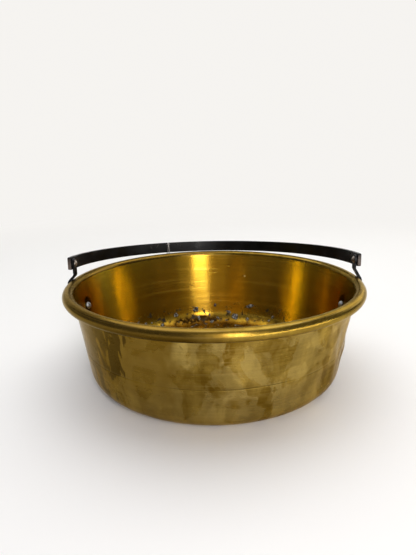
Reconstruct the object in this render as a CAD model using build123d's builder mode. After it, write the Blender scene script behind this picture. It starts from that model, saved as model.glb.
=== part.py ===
from build123d import *
import math
import os

# A spun brass preserving pan with a swinging iron bail.
# Z is up and the origin is on the pan's axis, at the underside of its base. The ears stand on the X axis,
# and at rest the bail lies back on the rim at +Y. Lengths are in millimetres and angles in degrees.

# Pan, spun from one sheet of brass and curled over a wire at the rim
rim_radius = 150.0  # to the widest edge of the bead
pan_height = 96.0  # from the underside to the top of the bead
sheet = 1.2
wall_lean = 8.0  # from upright
corner_radius = 18.0  # outside of the turn from base to wall
bead_radius = 5.4
seam_gap = 0.5  # from the end of the curl to the wall
wire_clearance = 0.1  # all round the wire in the curl

# Ears, bent from iron strip and riveted to the wall
ear_thickness = 2.2
neck_width = 6.6
eye_radius = 5.0
foot_radius = 7.5  # round each rivet in the foot
bead_clearance = 0.2  # from the strip to the bead it passes round
under_lean = 50.0  # lean of the strip from upright, where it passes under the bead
ear_bend_radius = 4.5  # on the face towards the pan
eye_inset = 1.3  # from the middle of the bead to the inner face of the eye

# Rivets
shank_radius = 2.5
foot_head_radius = 3.9
foot_head_height = 3.0
pivot_head_radius = 3.5
pivot_head_height = 1.8
tail_radius = 3.5  # of the end that is hammered over outside
tail_height = 1.3
head_seat_gap = 0.12  # under a flat head on a hollow face

# Bail, bent from iron strap
strap_width = 13.0
strap_thickness = 3.4
strap_tail = 6.0  # from the pivot to the cut end
strap_end_radius = 2.0
strap_edge_radius = 0.5
pivot_rise = 17.0  # of the pivot above the top of the bead
pivot_clearance = 0.08  # from the shank to the strap's hole
side_clearance = 0.3  # from the strap to the eye, and to the rivet's tail
rest_gap = 0.3  # from the strap to the bead at rest

# Thread tied round the bail in two turns
thread_radius = 0.3
thread_clearance = 0.06
thread_bend_radius = 0.7
thread_place = 115.0  # round the bail from +X
thread_slant = 6.0  # of each turn, from square across the strap
knot_radius = 0.8

# Places that follow from those
lean = math.radians(wall_lean)
bead_middle = rim_radius - bead_radius
bead_height = pan_height - bead_radius
pivot_height = pan_height + pivot_rise
eye_inner = bead_middle - eye_inset
strap_inner = eye_inner + ear_thickness + side_clearance
strap_outer = strap_inner + strap_thickness
tail_corner = math.hypot(strap_tail - strap_end_radius, strap_width / 2 - strap_end_radius)
tail_swing = tail_corner + strap_end_radius

# The strip leaves the wall on a straight run that is tangent to a circle just clear of the bead.
hug_radius = bead_radius + bead_clearance
below = math.radians(under_lean)
leaving_run = (hug_radius * math.cos(below - lean) + bead_radius - sheet) / math.sin(below - lean)
leaving = (
    bead_middle + hug_radius * math.cos(below) - leaving_run * math.sin(below),
    bead_height - hug_radius * math.sin(below) - leaving_run * math.cos(below),
)

os.makedirs("parts", exist_ok=True)


def wall_radius(height, depth=0):
    """Radius, at a height, of the wall's surface this deep in the sheet from its outside."""
    at_bead = bead_middle - (bead_radius - sheet + depth) / math.cos(lean)
    return at_bead - (bead_height - height) * math.tan(lean)


class Ear:
    """Where one ear is riveted, and how far under the swing of the bail's tail it turns upright."""

    def __init__(self, name, side, knee_drop, rivets):
        self.name = name
        self.side = side  # 1 at +X, -1 at -X
        self.knee_height = pivot_height - tail_swing - knee_drop
        self.rivets = rivets  # name, place along Y and height of each

    def rivet_plane(self, along, height):
        """Plane on the wall's outside at a rivet, facing out along it, with its X level."""
        across = self.side * math.sqrt(wall_radius(height) ** 2 - along**2)
        level = Vector(across, along, 0).normalized()
        outward = level * math.cos(lean) - Vector(0, 0, math.sin(lean))
        return Plane(origin=(across, along, height), x_dir=level.cross(Vector(0, 0, 1)), z_dir=outward)

    def eye_plane(self):
        """Plane on the eye's inner face at the pivot, facing out along the pivot rivet."""
        return Plane(origin=(self.side * eye_inner, 0, pivot_height), z_dir=(self.side, 0, 0))


ears = [
    Ear(
        "left",
        side=-1,
        knee_drop=5.2,
        rivets=[("upper", 4.5, leaving[1] - 13.3), ("lower", -4.5, leaving[1] - 31.3)],
    ),
    Ear(
        "right",
        side=1,
        knee_drop=1.5,
        rivets=[("upper", 5.0, leaving[1] - 15.4), ("lower", -5.0, leaving[1] - 31.4)],
    ),
]

# ---- Pan ----


def sheet_line(depth):
    """Base, corner, wall and curl of the sheet, at this depth from its outside. Returns the curl."""
    radius = bead_radius - sheet + depth
    FilletPolyline(
        (0, depth),
        (wall_radius(depth, depth), depth),
        (bead_middle - radius * math.cos(lean), bead_height + radius * math.sin(lean)),
        radius=corner_radius - depth,
    )
    open_angle = math.degrees(math.acos((bead_radius - sheet - seam_gap) / bead_radius))
    return CenterArc((bead_middle, bead_height), radius, 180 - wall_lean, open_angle - 360)


with BuildPart() as pan:
    with BuildSketch(Plane.XZ):
        with BuildLine():
            outside_curl = sheet_line(depth=0)
            inside_curl = sheet_line(depth=sheet)
            Line((0, 0), (0, sheet))
            Line(outside_curl @ 1, inside_curl @ 1)
        make_face()
    revolve(axis=Axis.Z)
    for ear in ears:
        for _, along, height in ear.rivets:
            with BuildSketch(ear.rivet_plane(along, height)):
                Circle(shank_radius)
            extrude(amount=2 * sheet, both=True, mode=Mode.SUBTRACT)

pan.part.label = "pan"
export_step(pan.part, "parts/pan.step")

# ---- Wire in the rim ----

with BuildPart() as rim_wire:
    with BuildSketch(Plane.XZ):
        with Locations((bead_middle, bead_height)):
            Circle(bead_radius - sheet - wire_clearance)
    revolve(axis=Axis.Z)

rim_wire.part.label = "rim_wire"
export_step(rim_wire.part, "parts/rim_wire.step")

# ---- Ears ----


def turning(knee_height):
    """Corner of the strip as it turns round the bead, between the runs from the wall and to the knee."""
    rise = knee_height - bead_height
    above = math.atan2(rise, -eye_inset) - math.acos(hug_radius / math.hypot(rise, eye_inset))
    reach = hug_radius / math.cos((above + below) / 2)
    return (
        bead_middle + reach * math.cos((above - below) / 2),
        bead_height + reach * math.sin((above - below) / 2),
    )


def tapered_bar(start, start_radius, end, end_radius):
    """Flat outline round two circles."""
    with BuildSketch() as bar:
        with Locations(start):
            Circle(start_radius)
        with Locations(end):
            Circle(end_radius)
        make_hull()
    return bar.sketch


for ear in ears:
    upper, lower = [(along, height) for _, along, height in ear.rivets]
    foot_end = lower[1] - 2 * foot_radius
    half_width = max(abs(upper[0]), abs(lower[0])) + 2 * foot_radius
    half_sector = math.degrees(math.asin(half_width / wall_radius(foot_end)))
    start = Vector(ear.side, 0, 0).rotate(Axis.Z, -half_sector)
    eye = (0, pivot_height)
    waist = (0, bead_height)
    outline = [
        tapered_bar(eye, neck_width / 2, waist, neck_width / 2),
        tapered_bar(waist, neck_width / 2, upper, foot_radius),
        tapered_bar(upper, foot_radius, lower, foot_radius),
    ]
    with BuildPart() as strip:
        with BuildSketch(Plane(origin=(0, 0, 0), x_dir=start, z_dir=start.cross(Vector(0, 0, 1)))):
            with BuildLine():
                FilletPolyline(
                    (wall_radius(foot_end), foot_end),
                    leaving,
                    turning(ear.knee_height),
                    (eye_inner, ear.knee_height),
                    (eye_inner, pivot_height + 2 * eye_radius),
                    radius=[ear_bend_radius, hug_radius, ear_bend_radius],
                )
                offset(amount=ear_thickness, side=Side.RIGHT)
            make_face()
        revolve(axis=Axis.Z, revolution_arc=2 * half_sector)
        with BuildSketch(Plane.YZ):
            add(outline)
            with Locations(eye):
                Circle(eye_radius)
        extrude(amount=ear.side * 2 * rim_radius, mode=Mode.INTERSECT)
        for place, along, height in ear.rivets:
            with BuildSketch(ear.rivet_plane(along, height)):
                Circle(shank_radius)
            extrude(amount=2 * ear_thickness, both=True, mode=Mode.SUBTRACT)
        with BuildSketch(ear.eye_plane()):
            Circle(shank_radius)
        extrude(amount=2 * ear_thickness, both=True, mode=Mode.SUBTRACT)

    strip.part.label = f"{ear.name}_ear"
    export_step(strip.part, f"parts/{ear.name}_ear.step")

# ---- Rivets ----


def rivet_line(inner, outer, head_radius, head_height):
    """Half outline of a rivet about Y: head under inner, shank, hammered tail over outer."""
    head_top = (0, inner - head_height)
    tail_top = (0, outer + tail_height)
    TangentArc(head_top, (head_radius, inner), tangent=(1, 0))
    Polyline((head_radius, inner), (shank_radius, inner), (shank_radius, outer), (tail_radius, outer))
    TangentArc(tail_top, (tail_radius, outer), tangent=(1, 0))
    Line(tail_top, head_top)


def lengthwise(plane):
    """The plane through a rivet's axis, with its Y out along the rivet."""
    return Plane(origin=plane.origin, x_dir=plane.x_dir, z_dir=-plane.y_dir)


for ear in ears:
    for place, along, height in ear.rivets:
        seat = ear.rivet_plane(along, height)
        with BuildPart() as foot_rivet:
            with BuildSketch(lengthwise(seat)):
                with BuildLine():
                    rivet_line(-sheet - head_seat_gap, ear_thickness, foot_head_radius, foot_head_height)
                make_face()
            revolve(axis=Axis(seat.origin, seat.z_dir))
        foot_rivet.part.label = f"{ear.name}_{place}_rivet"
        export_step(foot_rivet.part, f"parts/{ear.name}_{place}_rivet.step")

    seat = ear.eye_plane()
    grip = strap_outer + side_clearance - eye_inner
    with BuildPart() as pivot_rivet:
        with BuildSketch(lengthwise(seat)):
            with BuildLine():
                rivet_line(-head_seat_gap, grip, pivot_head_radius, pivot_head_height)
            make_face()
        revolve(axis=Axis(seat.origin, seat.z_dir))
    pivot_rivet.part.label = f"{ear.name}_pivot_rivet"
    export_step(pivot_rivet.part, f"parts/{ear.name}_pivot_rivet.step")

# ---- Bail ----

# At rest the strap's lower edge is rest_gap off the bead at the back, which sets how far the hoop falls
# below level.
standoff = strap_width / 2 + bead_radius + rest_gap
drop = pivot_height - bead_height
rest_tilt = math.acos(standoff / math.hypot(drop, bead_middle)) - math.atan2(bead_middle, drop)
bail_plane = Plane(
    origin=(0, 0, pivot_height), x_dir=(1, 0, 0), z_dir=(0, math.sin(rest_tilt), math.cos(rest_tilt))
)

with BuildPart() as bail:
    with BuildSketch(bail_plane.offset(-strap_width / 2)):
        with BuildLine():
            Line((strap_inner, -strap_tail), (strap_inner, 0))
            CenterArc((0, 0), strap_inner, 0, 180)
            Line((-strap_inner, 0), (-strap_inner, -strap_tail))
            Line((-strap_inner, -strap_tail), (-strap_outer, -strap_tail))
            Line((-strap_outer, -strap_tail), (-strap_outer, 0))
            CenterArc((0, 0), strap_outer, 180, -180)
            Line((strap_outer, 0), (strap_outer, -strap_tail))
            Line((strap_outer, -strap_tail), (strap_inner, -strap_tail))
        make_face()
    extrude(amount=strap_width)
    fillet(bail.edges().filter_by(Axis.X), radius=strap_end_radius)
    fillet(bail.edges().filter_by(GeomType.CIRCLE).sort_by(SortBy.LENGTH)[-4:], radius=strap_edge_radius)
    with BuildSketch(Plane.YZ):
        with Locations((0, pivot_height)):
            Circle(shank_radius + pivot_clearance)
    extrude(amount=2 * rim_radius, both=True, mode=Mode.SUBTRACT)

bail.part.label = "bail"
export_step(bail.part, "parts/bail.step")

# ---- Thread ----

# Both turns pass through the knot on the strap's top edge and lean apart below it.
strap_middle = (strap_inner + strap_outer) / 2
stand = thread_radius + thread_clearance
turn_height = strap_width / math.cos(math.radians(thread_slant)) + 2 * stand
turn_width = strap_thickness + 2 * stand
round_bail = Location((0, 0, 0), (0, 0, thread_place))
at_thread = bail_plane.location * round_bail * Location((strap_middle, 0, strap_width / 2 + stand))

with BuildPart() as tie_thread:
    for slant in (-thread_slant, thread_slant):
        with BuildLine(Plane(at_thread * Location((0, 0, 0), (90 + slant, 0, 0)))) as turn:
            FilletPolyline(
                (turn_width / 2, 0),
                (turn_width / 2, -turn_height),
                (-turn_width / 2, -turn_height),
                (-turn_width / 2, 0),
                radius=thread_bend_radius,
                close=True,
            )
        with BuildSketch(Plane(origin=turn.line @ 0, z_dir=turn.line % 0)):
            Circle(thread_radius)
        sweep(path=turn.line)
    with Locations(at_thread * Location((0, 0, knot_radius - thread_radius))):
        Sphere(knot_radius)

tie_thread.part.label = "tie_thread"
export_step(tie_thread.part, "parts/tie_thread.step")

print("bail rests", round(math.degrees(rest_tilt), 2), "degrees below level")
print("each turn of thread is", round(turn.wire().length, 1), "long")
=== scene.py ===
import math

import bmesh
import bpy
import numpy as np
from mathutils import Matrix, Vector


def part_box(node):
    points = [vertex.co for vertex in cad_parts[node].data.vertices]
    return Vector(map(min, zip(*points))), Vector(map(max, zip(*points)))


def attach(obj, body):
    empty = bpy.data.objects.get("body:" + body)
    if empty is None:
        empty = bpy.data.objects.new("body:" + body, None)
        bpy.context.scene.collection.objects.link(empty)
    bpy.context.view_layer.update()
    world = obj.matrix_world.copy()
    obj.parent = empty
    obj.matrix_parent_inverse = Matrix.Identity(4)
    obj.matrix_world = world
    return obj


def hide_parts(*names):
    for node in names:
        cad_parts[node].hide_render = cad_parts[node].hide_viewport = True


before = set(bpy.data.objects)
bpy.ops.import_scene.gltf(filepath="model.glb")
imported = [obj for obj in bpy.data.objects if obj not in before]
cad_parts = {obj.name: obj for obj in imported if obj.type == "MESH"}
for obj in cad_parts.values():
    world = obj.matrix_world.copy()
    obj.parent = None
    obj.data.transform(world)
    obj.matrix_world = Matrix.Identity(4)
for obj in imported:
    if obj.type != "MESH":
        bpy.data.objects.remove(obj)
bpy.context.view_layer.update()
print("frame loaded")

# A spun brass pan with a black iron bail. Metres throughout, in the frame's own axes.


def addNode(tree, kind, settings=None, inputs=None):
    node = tree.nodes.new(kind)
    for name, value in (settings or {}).items():
        setattr(node, name, value)
    for name, value in (inputs or {}).items():
        if isinstance(value, bpy.types.NodeSocket):
            tree.links.new(value, node.inputs[name])
        else:
            node.inputs[name].default_value = value
    return node


def maths(tree, operation, first, second=0.0, third=0.0):
    inputs = {0: first, 1: second, 2: third}
    return addNode(tree, "ShaderNodeMath", {"operation": operation}, inputs).outputs[0]


def ramp(tree, value, low, high, start=0.0, end=1.0):
    # a smooth step from start to end as value goes from low to high
    inputs = {"Value": value, "From Min": low, "From Max": high, "To Min": start, "To Max": end}
    return addNode(tree, "ShaderNodeMapRange", {"interpolation_type": "SMOOTHSTEP"}, inputs).outputs[0]


def noise(tree, vector, scale, detail=3.0, roughness=0.55, distortion=0.0):
    inputs = {"Vector": vector, "Scale": scale, "Detail": detail, "Roughness": roughness}
    inputs["Distortion"] = distortion
    return addNode(tree, "ShaderNodeTexNoise", None, inputs).outputs[0]


def mixColour(tree, factor, first, second):
    settings = {"data_type": "RGBA", "clamp_factor": True}
    return addNode(tree, "ShaderNodeMix", settings, {0: factor, 6: first, 7: second}).outputs[2]


def stretched(tree, x, y, z, scales, shift=0.0):
    # a coordinate with its own scale each way, moved along so that patterns differ
    parts = [maths(tree, "MULTIPLY_ADD", axis, scale, shift) for axis, scale in zip((x, y, z), scales)]
    return addNode(tree, "ShaderNodeCombineXYZ", None, dict(enumerate(parts))).outputs[0]


def nearPoint(tree, position, point, near, far):
    # 1 within near of the point, falling to 0 at far
    away = addNode(tree, "ShaderNodeVectorMath", {"operation": "DISTANCE"}, {0: position, 1: tuple(point)})
    return ramp(tree, away.outputs["Value"], near, far, 1.0, 0.0)


def addBump(tree, height, strength, distance, normal=None):
    inputs = {"Strength": strength, "Distance": distance, "Height": height}
    if normal is not None:
        inputs["Normal"] = normal
    return addNode(tree, "ShaderNodeBump", None, inputs).outputs[0]


def newMaterial(name):
    material = bpy.data.materials.new(name)
    material.use_nodes = True
    tree = material.node_tree
    tree.nodes.clear()
    output = tree.nodes.new("ShaderNodeOutputMaterial")
    shader = tree.nodes.new("ShaderNodeBsdfPrincipled")
    tree.links.new(shader.outputs[0], output.inputs[0])
    position = addNode(tree, "ShaderNodeTexCoord").outputs["Object"]
    return material, tree, shader, position


def gridFaces(rows, columns, closedAlong=False):
    # Squares between neighbouring points of a grid whose columns close on themselves. Rows close too
    # if closedAlong.
    index = np.arange(rows * columns).reshape(rows, columns)
    if closedAlong:
        here, above = index, np.roll(index, -1, axis=0)
    else:
        here, above = index[:-1], index[1:]
    return np.stack((here, above, np.roll(above, -1, axis=1), np.roll(here, -1, axis=1)), -1).reshape(-1, 4)


def poleFans(rows, columns):
    # Triangles that close the first and last rows of a grid onto one point each.
    index = np.arange(rows * columns).reshape(rows, columns)
    beside = np.roll(index, -1, axis=1)
    first = np.stack((index[1], beside[1], np.full(columns, index[0, 0])), -1)
    last = np.stack((beside[-2], index[-2], np.full(columns, index[-1, 0])), -1)
    return first, last


def newMesh(name, points, faces):
    # Points of any grid shape by 3, and faces as lists of point numbers.
    mesh = bpy.data.meshes.new(name)
    mesh.from_pydata(points.reshape(-1, 3).tolist(), [], faces)
    mesh.polygons.foreach_set("use_smooth", np.ones(len(mesh.polygons), bool))
    return mesh


def closeMesh(mesh):
    # Drops the points that no face uses and turns the faces outward.
    edit = bmesh.new()
    edit.from_mesh(mesh)
    bmesh.ops.delete(edit, geom=[point for point in edit.verts if not point.link_faces], context="VERTS")
    bmesh.ops.recalc_face_normals(edit, faces=edit.faces)
    edit.to_mesh(mesh)
    edit.free()


def addPiece(mesh, body, materials, replaced=None):
    closeMesh(mesh)
    for material in materials:
        mesh.materials.append(material)
    piece = bpy.data.objects.new(mesh.name, mesh)
    bpy.context.scene.collection.objects.link(piece)
    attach(piece, body)
    if replaced:
        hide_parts(replaced)
    return piece


# where the pan's parts are, from the frame, whose facets fall a few hundredths of a millimetre short
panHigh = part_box("pan")[1]
wireLow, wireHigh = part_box("rim_wire")
rimRadius = round(panHigh.x, 4)
panHeight = round(panHigh.z, 4)
beadHeight = (wireLow.z + wireHigh.z) / 2
beadRadius = panHeight - beadHeight
beadMiddle = rimRadius - beadRadius


panShape = {
    "sheet": 0.0012,
    "wallLean": math.radians(8.0),
    "cornerRadius": 0.018,  # outside
    "seamGap": 0.0005,  # from the end of the curl to the wall
    "columns": 400,
    "points": {"base": 22, "corner": 14, "wall": 36, "curl": 36},
    "scribeHeight": 0.041,  # of the maker's line round the outside
    "scribeDepth": 0.00018,
    "scribeRows": (-0.02, -0.007, 0, 0.007, 0.02),  # shares of the wall's length from that line
    "waveDepth": 0.00005,  # of the hammered waves in the wall
    "waves": ((5, 20), (9, 45), (14, 60), (19, 35), (26, 90), (33, 70)),  # cycles round, rate up
    "wallStart": (0.1, 0.03),  # along the sheet: where waves and dents begin, and how soon they are full
    "underBead": 0.01,  # where they fade out again
    "baseRingDepth": 0.00009,
    "baseRingPitch": 0.034,
    "earHalfAngle": math.radians(12.0),  # the wall stays true beside the ears
    # soft dents: degrees round, height, half width, half height, depth inward
    "dents": (
        (-19, 0.056, 0.009, 0.011, 0.0013),
        (-17, 0.033, 0.010, 0.009, -0.0012),
        (-21, 0.074, 0.008, 0.006, -0.0006),
        (-32, 0.052, 0.015, 0.018, 0.0019),
        (-23, 0.030, 0.011, 0.013, 0.0016),
        (-40, 0.070, 0.012, 0.010, 0.0011),
        (-44, 0.026, 0.013, 0.011, 0.0012),
        (-27, 0.068, 0.009, 0.009, -0.0007),
        (-36, 0.034, 0.008, 0.016, -0.0008),
        (-54, 0.044, 0.018, 0.010, -0.0006),
        (-60, 0.020, 0.020, 0.009, 0.0010),
        (-72, 0.030, 0.014, 0.018, 0.0004),
        (-118, 0.052, 0.020, 0.016, 0.0004),
        (-141, 0.035, 0.015, 0.022, 0.0004),
        (38, 0.040, 0.016, 0.018, 0.0002),
        (146, 0.060, 0.014, 0.020, 0.0002),
    ),
}


def sheetLine(depth):
    # The line of the sheet at a depth from its outside: level base, quarter-turn corner, leaning wall
    # and the curl, an arc about the wire that stops seamGap short of the wall.
    lean, sheet, count = panShape["wallLean"], panShape["sheet"], panShape["points"]
    corner = panShape["cornerRadius"] - depth
    curl = beadRadius - sheet + depth
    cornerHeight = depth + corner
    wallAt = beadMiddle - curl / math.cos(lean) - (beadHeight - cornerHeight) * math.tan(lean)
    cornerMiddle = wallAt - corner / math.cos(lean)
    turn = np.linspace(-math.pi / 2, -lean, count["corner"])
    cornerR, cornerZ = cornerMiddle + corner * np.cos(turn), cornerHeight + corner * np.sin(turn)
    openAngle = math.acos((beadRadius - sheet - panShape["seamGap"]) / beadRadius)
    turn = np.linspace(math.pi - lean, -math.pi - lean + openAngle, count["curl"])
    curlR, curlZ = beadMiddle + curl * np.cos(turn), beadHeight + curl * np.sin(turn)
    baseR = np.linspace(0, cornerR[0], count["base"])[:-1]
    wallShare = np.linspace(0, 1, count["wall"])[1:-1]
    # the wall's rows close up round the scribed line
    scribeShare = (panShape["scribeHeight"] - cornerZ[-1]) / (curlZ[0] - cornerZ[-1])
    middle = int(np.argmin(np.abs(wallShare - scribeShare)))
    wallShare[middle - 2:middle + 3] = scribeShare + np.array(panShape["scribeRows"])
    wallR = cornerR[-1] + wallShare * (curlR[0] - cornerR[-1])
    wallZ = cornerZ[-1] + wallShare * (curlZ[0] - cornerZ[-1])
    if depth == 0:
        wallR[middle] -= panShape["scribeDepth"]
    r = np.concatenate((baseR, cornerR, wallR, curlR))
    z = np.concatenate((np.full(len(baseR), depth), cornerZ, wallZ, curlZ))
    along = np.concatenate(([0.0], np.cumsum(np.hypot(np.diff(r), np.diff(z)))))
    wallTop = len(baseR) + len(cornerR) + len(wallR)
    return r, z, along, wallTop


def wallWaves(angle, height):
    # Shallow hammer waves: a sum of cosines in angle and height, largest half-way up the wall and
    # nothing at the bead or at the base.
    chance = np.random.default_rng(7)
    total = np.zeros(np.broadcast(angle, height).shape)
    for around, up in panShape["waves"]:
        phase, tilt = chance.uniform(0, 2 * math.pi, 2)
        total = total + np.cos(around * angle + up * height * math.cos(tilt) + phase) / (1 + around / 16)
    share = np.clip(height / beadHeight, 0, 1)
    return panShape["waveDepth"] * total * np.sin(math.pi * share) ** 0.7


def dents(angle, height):
    # Each dent is a bell shape in arc length and height, pushed inward by its depth.
    total = np.zeros(np.broadcast(angle, height).shape)
    for middle, level, wide, tall, depth in panShape["dents"]:
        turn = (angle - math.radians(middle) + math.pi) % (2 * math.pi) - math.pi
        total = total - depth * np.exp(-((turn * rimRadius / wide) ** 2) - ((height - level) / tall) ** 2)
    return total


def beaten(r, z, along, angle):
    # The sheet's line with its waves and dents: the wall moves in and out between the corner and the
    # bead and stays true beside the ears, and the base rises and falls in rings, a cosine of the distance
    # from the middle.
    start, full = panShape["wallStart"]
    fromEar = np.clip(np.abs(np.sin(angle)) / math.sin(panShape["earHalfAngle"]), 0, 1) ** 2
    belowBead = np.clip((beadHeight - beadRadius - z) / panShape["underBead"], 0, 1)
    onWall = np.clip((along - start) / full, 0, 1) * belowBead
    r = r + (wallWaves(angle, z) + dents(angle, z)) * onWall * fromEar
    rings = np.cos(2 * math.pi * along / panShape["baseRingPitch"]) + 0.5 * np.cos(3 * angle + along / 0.02)
    onBase = np.clip(1 - along / start, 0, 1) * np.clip(along / 0.02, 0, 1)
    return r, z + panShape["baseRingDepth"] * (rings + 1.5) * onBase


def makePan(materials):
    # Both lines of the sheet joined end to end, axis to axis, and carried round the axis.
    insideR, insideZ, insideAlong, wallTop = sheetLine(panShape["sheet"])
    outsideR, outsideZ, outsideAlong, _ = sheetLine(0.0)
    r = np.concatenate((insideR, outsideR[::-1]))
    z = np.concatenate((insideZ, outsideZ[::-1]))
    along = np.concatenate((insideAlong, outsideAlong[::-1]))
    rows, columns = len(r), panShape["columns"]
    angle = np.linspace(-math.pi, math.pi, columns, endpoint=False)[None, :]
    r, z, along = (np.repeat(line[:, None], columns, axis=1) for line in (r, z, along))
    r, z = beaten(r, z, along, angle)
    points = np.stack((r * np.cos(angle), r * np.sin(angle), z), -1)
    squares = gridFaces(rows, columns).reshape(rows - 1, columns, 4)[1:-1]
    first, last = poleFans(rows, columns)
    mesh = newMesh("panShell", points, squares.reshape(-1, 4).tolist() + first.tolist() + last.tolist())
    mesh.attributes.new("along", "FLOAT", "POINT").data.foreach_set("value", along.reshape(-1))
    # inside, bead and outside each have their own finish
    row = np.arange(1, rows - 2)
    finish = np.where(row < wallTop, 0, np.where(row < len(insideR), 1, 2))
    finish = np.concatenate((np.repeat(finish, columns), np.full(columns, 0), np.full(columns, 2)))
    mesh.polygons.foreach_set("material_index", finish.astype(np.int32))
    return addPiece(mesh, "bowl", materials, "pan")


flakeShape = {
    "count": 62,
    "columns": 14,
    "rings": (0.0, 0.45, 0.8, 1.0, 1.0),
    "heights": (0.9, 1.0, 0.7, 0.25, -0.4),  # share of the thickness, over the brass
    "widths": (0.0010, 0.0050),
    "widthBeta": (1.3, 2.6),  # more small ones than large
    "thickness": (0.0002, 0.0006),
    "baseFrom": 0.035,  # distance along the sheet from the middle of the base
    "wallFoot": 0.152,
    "alongBeta": (3.2, 1.6),  # more at the wall's foot than near the middle
    "backShare": 0.35,  # of them gather at the back
    "backMiddle": math.radians(82),
    "backSpread": 0.42,
    "narrowing": (0.55, 1.0),  # width over length
    "lobes": 0.22,
    "ragged": 0.16,
    "unevenness": (0.75, 1.15),
}


def makeFlakes(material):
    # Low scabs of old residue: each is a ragged ring of points about its middle, lifted off the sheet
    # by a share of its thickness. Distances along and round the sheet are turned into places on it.
    chance = np.random.default_rng(21)
    insideR, insideZ, insideAlong, _ = sheetLine(panShape["sheet"])
    count, columns, rings = flakeShape["count"], flakeShape["columns"], len(flakeShape["rings"])
    spread = chance.beta(*flakeShape["alongBeta"], count)
    middle = flakeShape["baseFrom"] + spread * (flakeShape["wallFoot"] - flakeShape["baseFrom"])
    turned = chance.uniform(-math.pi, math.pi, count)
    backward = chance.uniform(0, 1, count) < flakeShape["backShare"]
    backTurned = flakeShape["backMiddle"] + chance.normal(0, flakeShape["backSpread"], count)
    turned = np.where(backward, backTurned, turned)
    small, large = flakeShape["widths"]
    width = small + (large - small) * chance.beta(*flakeShape["widthBeta"], count)
    thin, thick = flakeShape["thickness"]
    high = (thin + (thick - thin) * chance.uniform(0, 1, count))[:, None, None]
    stretch = chance.uniform(*flakeShape["narrowing"], count)[:, None, None]
    skew = chance.uniform(0, math.pi, count)[:, None, None]
    around = np.linspace(0, 2 * math.pi, columns, endpoint=False)[None, None, :]
    ragged = 1 + flakeShape["lobes"] * np.cos(2 * around + chance.uniform(0, 6, (count, 1, 1)))
    ragged = ragged + chance.uniform(-flakeShape["ragged"], flakeShape["ragged"], (count, 1, columns))
    ring = np.array(flakeShape["rings"])[None, :, None]
    reach = width[:, None, None] * ring * ragged
    u, v = reach * np.cos(around), reach * stretch * np.sin(around)
    along = middle[:, None, None] + u * np.cos(skew) - v * np.sin(skew)
    arc = u * np.sin(skew) + v * np.cos(skew)
    r, z = np.interp(along, insideAlong, insideR), np.interp(along, insideAlong, insideZ)
    angle = turned[:, None, None] + arc / np.maximum(r, 0.01)
    r, z = beaten(r, z, along, angle)
    # the sheet's own direction, from a short step either way
    step = 0.0005
    riseR = np.interp(along + step, insideAlong, insideR) - np.interp(along - step, insideAlong, insideR)
    riseZ = np.interp(along + step, insideAlong, insideZ) - np.interp(along - step, insideAlong, insideZ)
    size = np.hypot(riseR, riseZ)
    uneven = chance.uniform(*flakeShape["unevenness"], along.shape)
    lift = high * np.array(flakeShape["heights"])[None, :, None] * uneven
    lift = np.where(ring == 0, lift[:, :, :1], lift)
    r, z = r - lift * riseZ / size, z + lift * riseR / size
    points = np.stack((r * np.cos(angle), r * np.sin(angle), z), -1)
    single = gridFaces(rings, columns).reshape(rings - 1, columns, 4)[1:].reshape(-1, 4)
    top, _ = poleFans(rings, columns)
    under = (rings - 1) * columns + np.arange(columns)
    faces = []
    for flake in range(count):
        start = flake * rings * columns
        faces += (single + start).tolist() + (top + start).tolist() + [(under + start).tolist()]
    return addPiece(newMesh("residueFlakes", points, faces), "bowl", [material])


brassLooks = {
    "inside": {
        "bright": (0.64, 0.412, 0.050, 1),
        "dull": (0.40, 0.225, 0.012, 1),
        "rough": (0.20, 0.28),
        "edge": (1.0, 0.86, 0.50, 1),  # tint where the surface turns away from the eye
        "anisotropy": 0.97,
        "linesDepth": 0.20,
        "lineStain": 0.55,
        "scratch": 0.55,
        "scratched": (0.82, 0.56, 0.10, 1),
        "swirlDepth": 0.02,
        "stain": 0.7,
    },
    "bead": {
        "bright": (0.34, 0.22, 0.034, 1),
        "dull": (0.12, 0.064, 0.007, 1),
        "rough": (0.20, 0.36),
        "edge": (0.95, 0.84, 0.60, 1),
        "anisotropy": 0.5,
        "linesDepth": 0.08,
        "lineStain": 0.35,
        "scratch": 0.45,
        "scratched": (0.50, 0.36, 0.13, 1),
        "swirlDepth": 0.10,
        "stain": 0.9,
    },
    "outside": {
        "bright": (0.45, 0.30, 0.058, 1),
        "dull": (0.12, 0.065, 0.005, 1),
        "rough": (0.22, 0.36),
        "edge": (0.90, 0.77, 0.56, 1),
        "anisotropy": 0.85,
        "linesDepth": 0.25,
        "lineStain": 0.5,
        "scratch": 0.16,
        "scratched": (0.55, 0.40, 0.12, 1),
        "swirlDepth": 0.3,
        "stain": 1.0,
    },
}


# real stains together with painted shade and painted sheen colours
stainAndPaintedLightColours = {
    # inside
    "paintedSheenNearEars": (0.58, 0.43, 0.035, 1),
    "base": (0.15, 0.080, 0.008, 1),
    "scorch": (0.15, 0.070, 0.008, 1),
    "burnt": (0.035, 0.016, 0.003, 1),
    "speck": (0.02, 0.014, 0.01, 1),
    "halo": (0.010, 0.007, 0.006, 1),
    "chip": (0.9, 0.88, 0.8, 1),
    # bead
    "paintedShadeBeadLeft": (0.19, 0.112, 0.020, 1),
    "paintedShadeBeadUnder": (0.06, 0.030, 0.001, 1),
    # outside
    "rubbed": (0.60, 0.46, 0.16, 1),
    "rubbedSmall": (0.50, 0.36, 0.10, 1),
    "murk": (0.105, 0.056, 0.003, 1),
    "paintedShadeWallLeft": (0.15, 0.083, 0.008, 1),
    "drip": (0.035, 0.018, 0.002, 1),
    "scribed": (0.05, 0.03, 0.006, 1),
}
stainPlaces = {
    "haloAhead": (0.0018, 0.0018),  # of each halo's middle from its rivet's, inward and upward
    "haloReach": (0.0060, 0.0102),  # where it starts to fade and where it ends
    "chip": (0.0405, 0.1291, 0.0635),
    "chipReach": (0.0002, 0.0030),
}


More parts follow.
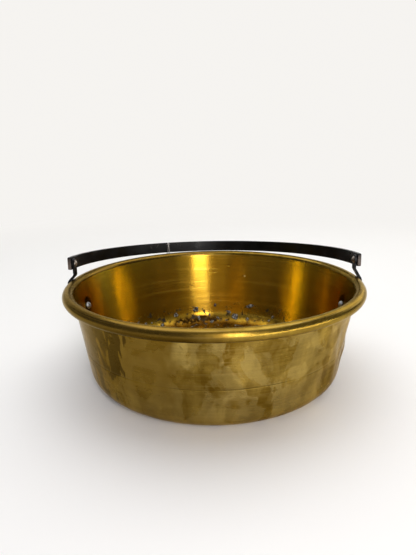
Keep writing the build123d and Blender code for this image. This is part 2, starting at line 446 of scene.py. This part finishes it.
def brass(zone):
    look = brassLooks[zone]
    material, tree, shader, position = newMaterial("brass" + zone.capitalize())
    x, y, z = addNode(tree, "ShaderNodeSeparateXYZ", None, {0: position}).outputs
    along = addNode(tree, "ShaderNodeAttribute", {"attribute_name": "along"}).outputs["Fac"]
    # turning lines run round the pan: quick across the profile, slow round it
    fine = noise(tree, stretched(tree, x, y, along, (9, 9, 900)), 1.0, 4.0, 0.6)
    broad = noise(tree, stretched(tree, x, y, along, (5, 5, 330), 3.1), 1.0, 3.0, 0.6)
    lines = maths(tree, "ADD", maths(tree, "MULTIPLY", fine, 0.55), maths(tree, "MULTIPLY", broad, 0.45))
    cloud = noise(tree, position, 22.0, 5.0, 0.6, 0.6)
    streak = noise(tree, stretched(tree, x, y, along, (95, 95, 16), 7.7), 1.0, 4.0, 0.6)
    tarnish = maths(tree, "MULTIPLY_ADD", cloud, 0.8, maths(tree, "MULTIPLY", streak, 0.35))
    dullness = ramp(tree, maths(tree, "MULTIPLY_ADD", lines, look["lineStain"], tarnish), 0.55, 0.98)
    dullness = maths(tree, "MULTIPLY", dullness, look["stain"])
    colour = mixColour(tree, dullness, look["bright"], look["dull"])
    # bright scratches and dull rings, broken up round the pan
    scored = maths(tree, "ADD", maths(tree, "MULTIPLY", broad, 0.6), maths(tree, "MULTIPLY", fine, 0.4))
    colour = mixColour(tree, ramp(tree, scored, 0.54, 0.62, 0.0, look["scratch"]), colour, look["scratched"])
    colour = mixColour(tree, ramp(tree, scored, 0.46, 0.38, 0.0, look["scratch"]), colour, look["dull"])
    uneven = maths(tree, "MULTIPLY_ADD", lines, 0.5, maths(tree, "MULTIPLY", cloud, 0.5))
    rough = ramp(tree, uneven, 0.3, 0.7, *look["rough"])
    shader.inputs["Metallic"].default_value = 1.0
    if zone == "inside":
        # painted sheen: the inside walls towards the ears are painted paler and yellower, as if catching more
        # light
        paintedSheenNearEars = ramp(tree, maths(tree, "ABSOLUTE", x), 0.07, 0.12, 0.0, 0.8)
        colour = mixColour(tree, paintedSheenNearEars, colour, stainAndPaintedLightColours["paintedSheenNearEars"])
        colour, rough, metal = burntFloor(tree, position, y, z, colour, rough)
        tree.links.new(metal, shader.inputs["Metallic"])
    elif zone == "bead":
        colour = beadPaintedShade(tree, x, z, cloud, colour)
    else:
        colour, rough = patinaAndPaintedShade(tree, position, x, y, z, colour, rough)
    lined = addBump(tree, lines, look["linesDepth"], 0.0004)
    swirl = addBump(tree, noise(tree, position, 34.0, 2.0), look["swirlDepth"], 0.002, lined)
    tree.links.new(colour, shader.inputs["Base Color"])
    tree.links.new(rough, shader.inputs["Roughness"])
    tree.links.new(swirl, shader.inputs["Normal"])
    shader.inputs["Anisotropic"].default_value = look["anisotropy"]
    shader.inputs["Specular Tint"].default_value = look["edge"]
    shader.inputs["Anisotropic Rotation"].default_value = 0.25
    tangent = addNode(tree, "ShaderNodeTangent", {"direction_type": "RADIAL", "axis": "Z"})
    tree.links.new(tangent.outputs[0], shader.inputs["Tangent"])
    return material


def beadPaintedShade(tree, x, z, cloud, colour):
    # painted shade: the bead is painted darker on its left, most of all underneath
    dull = ramp(tree, maths(tree, "MULTIPLY_ADD", cloud, 0.06, x), 0.0, 0.045, 0.82, 0.0)
    colour = mixColour(tree, dull, colour, stainAndPaintedLightColours["paintedShadeBeadLeft"])
    # painted shade on the lower half of the bead, towards the left
    under = ramp(tree, z, beadHeight - 0.002, beadHeight + 0.003, 0.93, 0.0)
    under = maths(tree, "MULTIPLY", under, ramp(tree, x, -0.020, 0.010, 1.0, 0.0))
    return mixColour(tree, under, colour, stainAndPaintedLightColours["paintedShadeBeadUnder"])


def burntFloor(tree, position, y, z, colour, rough):
    # the base is browner than the wall, with ragged burnt patches over it and its corner, a few specks
    # up the foot of the wall, a black halo round each rivet head and one pale chip high on the wall
    onBase = ramp(tree, z, 0.004, 0.015, 0.88, 0.0)
    worn = ramp(tree, noise(tree, position, 13.0, 4.0, 0.6), 0.38, 0.52, 0.25, 1.0)
    colour = mixColour(tree, maths(tree, "MULTIPLY", onBase, worn), colour, stainAndPaintedLightColours["base"])
    low = ramp(tree, z, 0.006, 0.017, 0.0, 0.32)
    ragged = maths(tree, "MULTIPLY", noise(tree, position, 260.0, 4.0, 0.6), 0.34)
    broad = maths(tree, "MULTIPLY", noise(tree, position, 52.0, 6.0, 0.65, 0.3), 0.76)
    # parts of the base are nearly clean, and the patches gather in the others
    gathered = ramp(tree, noise(tree, position, 17.0, 2.0, 0.5, 0.4), 0.40, 0.58, 0.12, -0.015)
    gathered = maths(tree, "MULTIPLY", gathered, ramp(tree, y, 0.015, 0.05, 1.0, 0.25))
    patch = maths(tree, "SUBTRACT", maths(tree, "ADD", broad, ragged), maths(tree, "ADD", low, gathered))
    scorch = ramp(tree, patch, 0.47, 0.58)
    burnt = ramp(tree, patch, 0.550, 0.610)
    speckLow = ramp(tree, z, 0.020, 0.046, 0.0, 0.22)
    speck = maths(tree, "SUBTRACT", noise(tree, position, 150.0, 4.0, 0.55, 0.6), speckLow)
    specks = ramp(tree, speck, 0.585, 0.625)
    colour = mixColour(tree, maths(tree, "MULTIPLY", scorch, 0.75), colour, stainAndPaintedLightColours["scorch"])
    colour = mixColour(tree, maths(tree, "MULTIPLY", burnt, 0.95), colour, stainAndPaintedLightColours["burnt"])
    colour = mixColour(tree, specks, colour, stainAndPaintedLightColours["speck"])
    for middle in rivetHeads:
        ring = nearPoint(tree, position, middle, *stainPlaces["haloReach"])
        broken = noise(tree, position, 240.0, 3.0)
        halo = ramp(tree, maths(tree, "MULTIPLY_ADD", broken, 0.7, ring), 0.55, 0.72)
        colour = mixColour(tree, maths(tree, "MULTIPLY", halo, 0.95), colour, stainAndPaintedLightColours["halo"])
    chip = nearPoint(tree, position, stainPlaces["chip"], *stainPlaces["chipReach"])
    chip = maths(tree, "ADD", chip, maths(tree, "MULTIPLY", noise(tree, position, 700.0), 0.5))
    colour = mixColour(tree, ramp(tree, chip, 0.85, 0.95), colour, stainAndPaintedLightColours["chip"])
    crusted = maths(tree, "MAXIMUM", specks, burnt)
    rough = maths(tree, "MAXIMUM", rough, maths(tree, "MULTIPLY", crusted, 0.55))
    return colour, rough, maths(tree, "MULTIPLY_ADD", specks, -0.9, 1.0)


def patinaAndPaintedShade(tree, position, x, y, z, colour, rough):
    # cloudy rubbed blotches with firm edges, painted shade darkening the left side, and dark drips from under
    # the bead
    blotch = noise(tree, stretched(tree, x, y, z, (26, 26, 19), 4.4), 1.0, 5.0, 0.5, 1.3)
    firm = ramp(tree, blotch, 0.47, 0.53)
    colour = mixColour(tree, maths(tree, "MULTIPLY", firm, 0.26), colour, stainAndPaintedLightColours["rubbed"])
    rub = noise(tree, stretched(tree, x, y, z, (58, 58, 36), 12.4), 1.0, 4.0, 0.5, 0.9)
    colour = mixColour(tree, ramp(tree, rub, 0.50, 0.56, 0.0, 0.13), colour, stainAndPaintedLightColours["rubbedSmall"])
    murk = noise(tree, stretched(tree, x, y, z, (34, 34, 27), 9.1), 1.0, 5.0, 0.5, 0.7)
    colour = mixColour(tree, ramp(tree, murk, 0.50, 0.59, 0.0, 0.32), colour, stainAndPaintedLightColours["murk"])
    # painted shade: the left side of the outside is darkened by its position, more so higher up
    side = ramp(tree, maths(tree, "MULTIPLY_ADD", blotch, 0.05, x), -0.009, 0.013, 0.8, 0.0)
    side = maths(tree, "MULTIPLY", side, ramp(tree, z, 0.008, 0.045, 0.5, 1.0))
    colour = mixColour(tree, side, colour, stainAndPaintedLightColours["paintedShadeWallLeft"])
    drip = noise(tree, stretched(tree, x, y, z, (75, 75, 26), 1.7), 1.0, 5.0, 0.6, 0.8)
    high = ramp(tree, z, 0.030, 0.080, 0.0, 0.10)
    toLeft = ramp(tree, x, -0.095, -0.045, 0.08, -0.20)
    drips = maths(tree, "ADD", drip, maths(tree, "ADD", high, toLeft))
    # most of the drips are at the front
    dripDepth = maths(tree, "MULTIPLY", ramp(tree, drips, 0.555, 0.60), ramp(tree, y, -0.06, 0.02, 0.8, 0.35))
    colour = mixColour(tree, dripDepth, colour, stainAndPaintedLightColours["drip"])
    scribe = maths(tree, "ABSOLUTE", maths(tree, "SUBTRACT", z, panShape["scribeHeight"]))
    broken = ramp(tree, noise(tree, position, 30.0, 2.0), 0.35, 0.6)
    line = maths(tree, "MULTIPLY", ramp(tree, scribe, 0.0002, 0.0006, 0.7, 0.0), broken)
    colour = mixColour(tree, line, colour, stainAndPaintedLightColours["scribed"])
    return colour, maths(tree, "MULTIPLY_ADD", firm, -0.05, rough)


def flakeResidue():
    # grey-blue scabs that go dark and ragged at the edges of each patch of noise
    material, tree, shader, position = newMaterial("greyResidue")
    patch = noise(tree, position, 420.0, 5.0, 0.6, 0.4)
    colour = mixColour(tree, ramp(tree, patch, 0.46, 0.58), (0.03, 0.022, 0.016, 1), (0.23, 0.232, 0.22, 1))
    colour = mixColour(tree, ramp(tree, patch, 0.62, 0.68), colour, (0.62, 0.62, 0.60, 1))
    tree.links.new(colour, shader.inputs["Base Color"])
    tree.links.new(ramp(tree, patch, 0.3, 0.7, 0.75, 0.42), shader.inputs["Roughness"])
    tree.links.new(addBump(tree, patch, 0.6, 0.0004), shader.inputs["Normal"])
    return material


def blackIron():
    # black scale with paler scuffs; the strap's cut ends are rubbed bare and also painted paler as a
    # highlight
    material, tree, shader, position = newMaterial("blackIron")
    worn = noise(tree, position, 60.0, 6.0, 0.65, 0.4)
    grain = noise(tree, position, 600.0, 3.0)
    scuffs = ramp(tree, maths(tree, "MULTIPLY_ADD", grain, 0.3, worn), 0.80, 0.86)
    black, grey = (0.0008, 0.0008, 0.0010, 1), (0.0035, 0.0035, 0.0040, 1)
    colour = mixColour(tree, ramp(tree, worn, 0.35, 0.7), black, grey)
    colour = mixColour(tree, scuffs, colour, (0.035, 0.030, 0.026, 1))
    y = addNode(tree, "ShaderNodeSeparateXYZ", None, {0: position}).outputs["Y"]
    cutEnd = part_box("bail")[0].y
    # the cut ends: partly bare metal, partly a painted highlight
    bareAndHighlitEnds = ramp(tree, maths(tree, "MULTIPLY_ADD", worn, 0.001, y), cutEnd + 0.0006, cutEnd + 0.0016, 0.8, 0.0)
    colour = mixColour(tree, bareAndHighlitEnds, colour, (0.13, 0.10, 0.08, 1))
    tree.links.new(colour, shader.inputs["Base Color"])
    tree.links.new(ramp(tree, worn, 0.3, 0.7, 0.26, 0.45), shader.inputs["Roughness"])
    shader.inputs["Specular IOR Level"].default_value = 0.16
    hammered = addBump(tree, worn, 0.3, 0.0005)
    tree.links.new(addBump(tree, grain, 0.15, 0.0001, hammered), shader.inputs["Normal"])
    return material


def wornSteel(name, bright, dark, low, high):
    # rubbed metal between bright and dark, dark where the noise runs from low to high
    material, tree, shader, position = newMaterial(name)
    worn = noise(tree, position, 260.0, 5.0, 0.6, 0.3)
    dirt = ramp(tree, worn, low, high)
    tree.links.new(mixColour(tree, dirt, bright, dark), shader.inputs["Base Color"])
    tree.links.new(ramp(tree, worn, 0.3, 0.7, 0.28, 0.55), shader.inputs["Roughness"])
    tree.links.new(maths(tree, "MULTIPLY_ADD", dirt, -0.4, 0.9), shader.inputs["Metallic"])
    tree.links.new(addBump(tree, worn, 0.5, 0.0003), shader.inputs["Normal"])
    return material


def threadFibre():
    # pale fibre, flecked between two greys
    material, tree, shader, position = newMaterial("threadFibre")
    fibre = noise(tree, position, 2500.0, 3.0)
    colour = mixColour(tree, fibre, (0.72, 0.70, 0.66, 1), (0.40, 0.39, 0.38, 1))
    tree.links.new(colour, shader.inputs["Base Color"])
    shader.inputs["Roughness"].default_value = 0.8
    shader.inputs["Sheen Weight"].default_value = 0.3
    tree.links.new(addBump(tree, fibre, 0.5, 0.0001), shader.inputs["Normal"])
    return material


threadShape = {
    "bailSlope": math.radians(4.02),  # how far the bail lies below level at rest
    "strapHalfSizes": (0.0017, 0.0065),  # half of its thickness and half of its width
    "clearance": 0.00036,  # from the strap to the middle of the thread
    "squareness": 0.28,  # 1 would be an ellipse and 0 a rectangle
    "knotDrop": 0.0016,  # from the knot's top to the top of each turn
    "knotLift": 0.0006,
    "slants": (-6.0, 6.0),  # degrees from square across the strap
    "strandRadius": 0.00019,
    "strandReach": 0.00016,  # of each strand's middle from the thread's
    "twists": 15,
    "points": 260,
    "sides": 8,
    "knotRadius": 0.00045,
    "knotTube": 0.00032,
    "endLength": 0.0035,
}


def tube(path, radius, sides, closed):
    # A round profile carried along a path: at each point the ring stands square to the path, on the
    # path's direction crossed with a fixed slanting direction.
    if closed:
        ahead = np.roll(path, -1, axis=0) - np.roll(path, 1, axis=0)
    else:
        ahead = np.gradient(path, axis=0)
    ahead = ahead / np.linalg.norm(ahead, axis=1, keepdims=True)
    across = np.cross(ahead, np.array([0.31, 0.52, 0.80]))
    across = across / np.linalg.norm(across, axis=1, keepdims=True)
    over = np.cross(ahead, across)
    turn = np.linspace(0, 2 * math.pi, sides, endpoint=False)
    radius = np.broadcast_to(radius, len(path))[:, None, None]
    ring = across[:, None, :] * np.cos(turn)[None, :, None] + over[:, None, :] * np.sin(turn)[None, :, None]
    faces = gridFaces(len(path), sides, closed).tolist()
    if not closed:
        faces += [list(range(sides)), list(range((len(path) - 1) * sides, len(path) * sides))]
    return path[:, None, :] + radius * ring, faces


def joined(parts):
    # All points in one array, with each part's faces counting on from the points before it.
    points, faces, start = [], [], 0
    for partPoints, partFaces in parts:
        flat = partPoints.reshape(-1, 3)
        points.append(flat)
        faces += [[number + start for number in face] for face in partFaces]
        start += len(flat)
    return np.concatenate(points), faces


def makeThread(material):
    # Two turns round the strap, each of two twisted strands. A turn is a superellipse between an ellipse
    # and a rectangle: the sign and a small power of each cosine and sine. Each strand's middle circles
    # the turn's line.
    threadLow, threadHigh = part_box("tie_thread")
    middle = np.array((threadLow + threadHigh) / 2)
    shape = threadShape
    tilt = shape["bailSlope"]
    place = math.atan2(middle[1], middle[0])
    outward = np.array([math.cos(place), math.sin(place) * math.cos(tilt), math.sin(place) * math.sin(tilt)])
    outward = outward / np.linalg.norm(outward)
    upward = np.array([0.0, -math.sin(tilt), math.cos(tilt)])
    onward = np.cross(upward, outward)
    halfThick, halfTall = shape["strapHalfSizes"]
    halfWide, halfHigh = halfThick + shape["clearance"], halfTall + shape["clearance"]
    top = middle + upward * halfTall
    top = top + upward * (threadHigh.z - shape["knotDrop"] - top[2]) / upward[2]
    turn = np.linspace(0, 2 * math.pi, shape["points"], endpoint=False)
    cosine, sine = np.cos(turn), np.sin(turn)
    square = shape["squareness"]
    wide = np.sign(cosine) * np.abs(cosine) ** square * halfWide
    tall = np.sign(sine) * np.abs(sine) ** square * halfHigh
    parts = []
    for slant in shape["slants"]:
        lean = math.radians(slant)
        down = upward * math.cos(lean) + onward * math.sin(lean)
        line = top + wide[:, None] * outward + (tall - halfHigh)[:, None] * down / math.cos(lean)
        for start in (0, math.pi):
            spin = shape["twists"] * turn + start
            ahead = np.roll(line, -1, axis=0) - np.roll(line, 1, axis=0)
            ahead = ahead / np.linalg.norm(ahead, axis=1, keepdims=True)
            beside = np.cross(ahead, onward)
            beside = beside / np.linalg.norm(beside, axis=1, keepdims=True)
            other = np.cross(ahead, beside)
            circle = np.cos(spin)[:, None] * beside + np.sin(spin)[:, None] * other
            strand = line + shape["strandReach"] * circle
            parts.append(tube(strand, shape["strandRadius"], shape["sides"], True))
    # the knot is a trefoil, and two short ends leave it
    knot = np.linspace(0, 2 * math.pi, 120, endpoint=False)
    a, b, c = np.sin(knot) + 2 * np.sin(2 * knot), np.cos(knot) - 2 * np.cos(2 * knot), -np.sin(3 * knot)
    size = shape["knotRadius"] / 2
    knotMiddle = top + upward * shape["knotLift"]
    loop = knotMiddle + size * (a[:, None] * onward + b[:, None] * outward + c[:, None] * upward)
    parts.append(tube(loop, shape["knotTube"], shape["sides"], True))
    share = np.linspace(0, 1, 24)
    for side in (-1, 1):
        run = share * shape["endLength"]
        curve = onward * side * 0.55 - outward * 0.75
        end = knotMiddle + run[:, None] * curve - (share**2 * shape["endLength"] * 0.55)[:, None] * upward
        parts.append(tube(end, shape["strandRadius"] * (1.3 - 0.6 * share), shape["sides"], False))
    points, faces = joined(parts)
    return addPiece(newMesh("tieThread", points, faces), "handle", [material], "tie_thread")


def recoat(node, material):
    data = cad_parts[node].data
    data.materials.clear()
    data.materials.append(material)


footRivets = [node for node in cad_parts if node.endswith(("upper_rivet", "lower_rivet"))]
rivetHeads = []
for node in footRivets:
    low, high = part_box(node)
    middle = (low + high) / 2
    inward, upward = stainPlaces["haloAhead"]
    rivetHeads.append(middle + Vector((-math.copysign(inward, middle.x), 0, upward)))

makePan([brass("inside"), brass("bead"), brass("outside")])
makeFlakes(flakeResidue())
print("pan made")

makeThread(threadFibre())
ironMaterial = blackIron()
footRivetMaterial = wornSteel("greyRivet", (0.40, 0.41, 0.43, 1), (0.05, 0.05, 0.05, 1), 0.50, 0.66)
pivotRivetMaterial = wornSteel("rubbedRivet", (0.45, 0.40, 0.34, 1), (0.06, 0.04, 0.03, 1), 0.42, 0.60)
wireMaterial = wornSteel("ironWire", (0.25, 0.24, 0.23, 1), (0.06, 0.04, 0.03, 1), 0.40, 0.60)
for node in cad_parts:
    if node == "bail" or node.endswith("_ear"):
        recoat(node, ironMaterial)
    elif node.endswith("pivot_rivet"):
        recoat(node, pivotRivetMaterial)
    elif node in footRivets:
        recoat(node, footRivetMaterial)
    elif node == "rim_wire":
        recoat(node, wireMaterial)
print("iron, rivets and thread finished")


roomColour = (1.0, 0.98, 0.95, 1)
roomLight = 0.16  # what the room gives the pan
paleRoom = 0.92  # how bright it looks past the floor

cameraView = {
    "position": (0.0062, -0.4198, 0.2047),
    "pitchDown": 14.55,
    "turnLeft": 1.61,
    "roll": -1.12,
    "lens": 27.05,
}


floorShape = {
    "reach": 3.0,
    "levelBehind": 1.2,
    "bendRadius": 0.8,
    "rise": 2.5,
    "fade": (0.35, 1.5),  # from the pan, where the floor starts to fade and where it is gone
}


def makeFloor():
    # a pale sweep: level floor that turns up behind in a quarter circle
    reach, behind, turn = floorShape["reach"], floorShape["levelBehind"], floorShape["bendRadius"]
    bend = np.linspace(0, math.pi / 2, 24)
    curve = np.stack((behind + turn * np.sin(bend), turn * (1 - np.cos(bend))), -1)
    line = np.concatenate((np.array([[-reach, 0]]), curve, np.array([[behind + turn, floorShape["rise"]]])))
    across = np.broadcast_to(np.array([-reach, reach]), (len(line), 2))
    back, up = np.repeat(line[:, :1], 2, 1), np.repeat(line[:, 1:], 2, 1)
    index = np.arange(len(line) * 2).reshape(-1, 2)
    faces = np.stack((index[:-1, 0], index[:-1, 1], index[1:, 1], index[1:, 0]), -1)
    mesh = newMesh("floor", np.stack((across, back, up), -1), faces.tolist())
    material, tree, shader, position = newMaterial("paleFloor")
    shader.inputs["Roughness"].default_value = 0.7
    # away from the pan the floor fades into the pale room, so that no edge of it shows
    away = addNode(tree, "ShaderNodeVectorMath", {"operation": "LENGTH"}, {0: position}).outputs["Value"]
    seen = addNode(tree, "ShaderNodeLightPath").outputs["Is Camera Ray"]
    fade = maths(tree, "MULTIPLY", ramp(tree, away, *floorShape["fade"]), seen)
    tree.links.new(mixColour(tree, fade, (0.90, 0.90, 0.89, 1), (0, 0, 0, 1)), shader.inputs["Base Color"])
    tree.links.new(maths(tree, "MULTIPLY", fade, paleRoom), shader.inputs["Emission Strength"])
    shader.inputs["Emission Color"].default_value = roomColour
    shader.inputs["Specular IOR Level"].default_value = 0.0
    mesh.materials.append(material)
    floor = bpy.data.objects.new("floor", mesh)
    bpy.context.scene.collection.objects.link(floor)


def makeCamera():
    data = bpy.data.cameras.new("camera")
    data.lens = cameraView["lens"]
    data.sensor_width = 36.0
    camera = bpy.data.objects.new("camera", data)
    bpy.context.scene.collection.objects.link(camera)
    turn = Matrix.Rotation(math.radians(cameraView["turnLeft"]), 4, "Z")
    tip = Matrix.Rotation(math.radians(90 - cameraView["pitchDown"]), 4, "X")
    roll = Matrix.Rotation(math.radians(cameraView["roll"]), 4, "Z")
    camera.matrix_world = Matrix.Translation(cameraView["position"]) @ turn @ tip @ roll
    bpy.context.scene.camera = camera


# name, azimuth from +X, elevation, distance, width, height, watts, colour
softLights = [
    ("frontWindow", -75.5, 24, 1.6, 0.40, 1.2, 12.6, (1.0, 0.95, 1.0)),
    ("frontGlow", -78, 27, 1.9, 1.7, 1.1, 3.2, (1.0, 0.95, 0.84)),
    ("backGlow", 40, 26, 1.9, 1.0, 0.9, 4, (1.0, 0.96, 0.86)),
    ("lowRight", -47, 2, 1.5, 2.5, 0.12, 13, (1.0, 0.98, 0.94)),
    ("overhead", 90, 76, 1.9, 2.6, 2.0, 34, (1.0, 1.0, 1.0)),
]


def makeLights():
    for name, azimuth, elevation, distance, width, height, watts, colour in softLights:
        data = bpy.data.lights.new(name, "AREA")
        data.shape = "RECTANGLE"
        data.size, data.size_y = width, height
        data.energy = watts
        data.color = colour
        light = bpy.data.objects.new(name, data)
        bpy.context.scene.collection.objects.link(light)
        a, e = math.radians(azimuth), math.radians(elevation)
        away = Vector((math.cos(a) * math.cos(e), math.sin(a) * math.cos(e), math.sin(e)))
        light.location = away * distance
        light.rotation_euler = away.to_track_quat("Z", "Y").to_euler()
        light.visible_camera = False
    world = bpy.data.worlds.new("room")
    world.use_nodes = True
    background = world.node_tree.nodes["Background"]
    background.inputs["Color"].default_value = roomColour
    # seen past the floor's edge the room is pale, but it lights the pan less
    seen = addNode(world.node_tree, "ShaderNodeLightPath").outputs["Is Camera Ray"]
    strength = maths(world.node_tree, "MULTIPLY_ADD", seen, paleRoom - roomLight, roomLight)
    world.node_tree.links.new(strength, background.inputs["Strength"])
    bpy.context.scene.world = world
    bpy.context.scene.view_settings.view_transform = "Standard"


makeFloor()
makeCamera()
makeLights()
print("floor, camera and lights set")
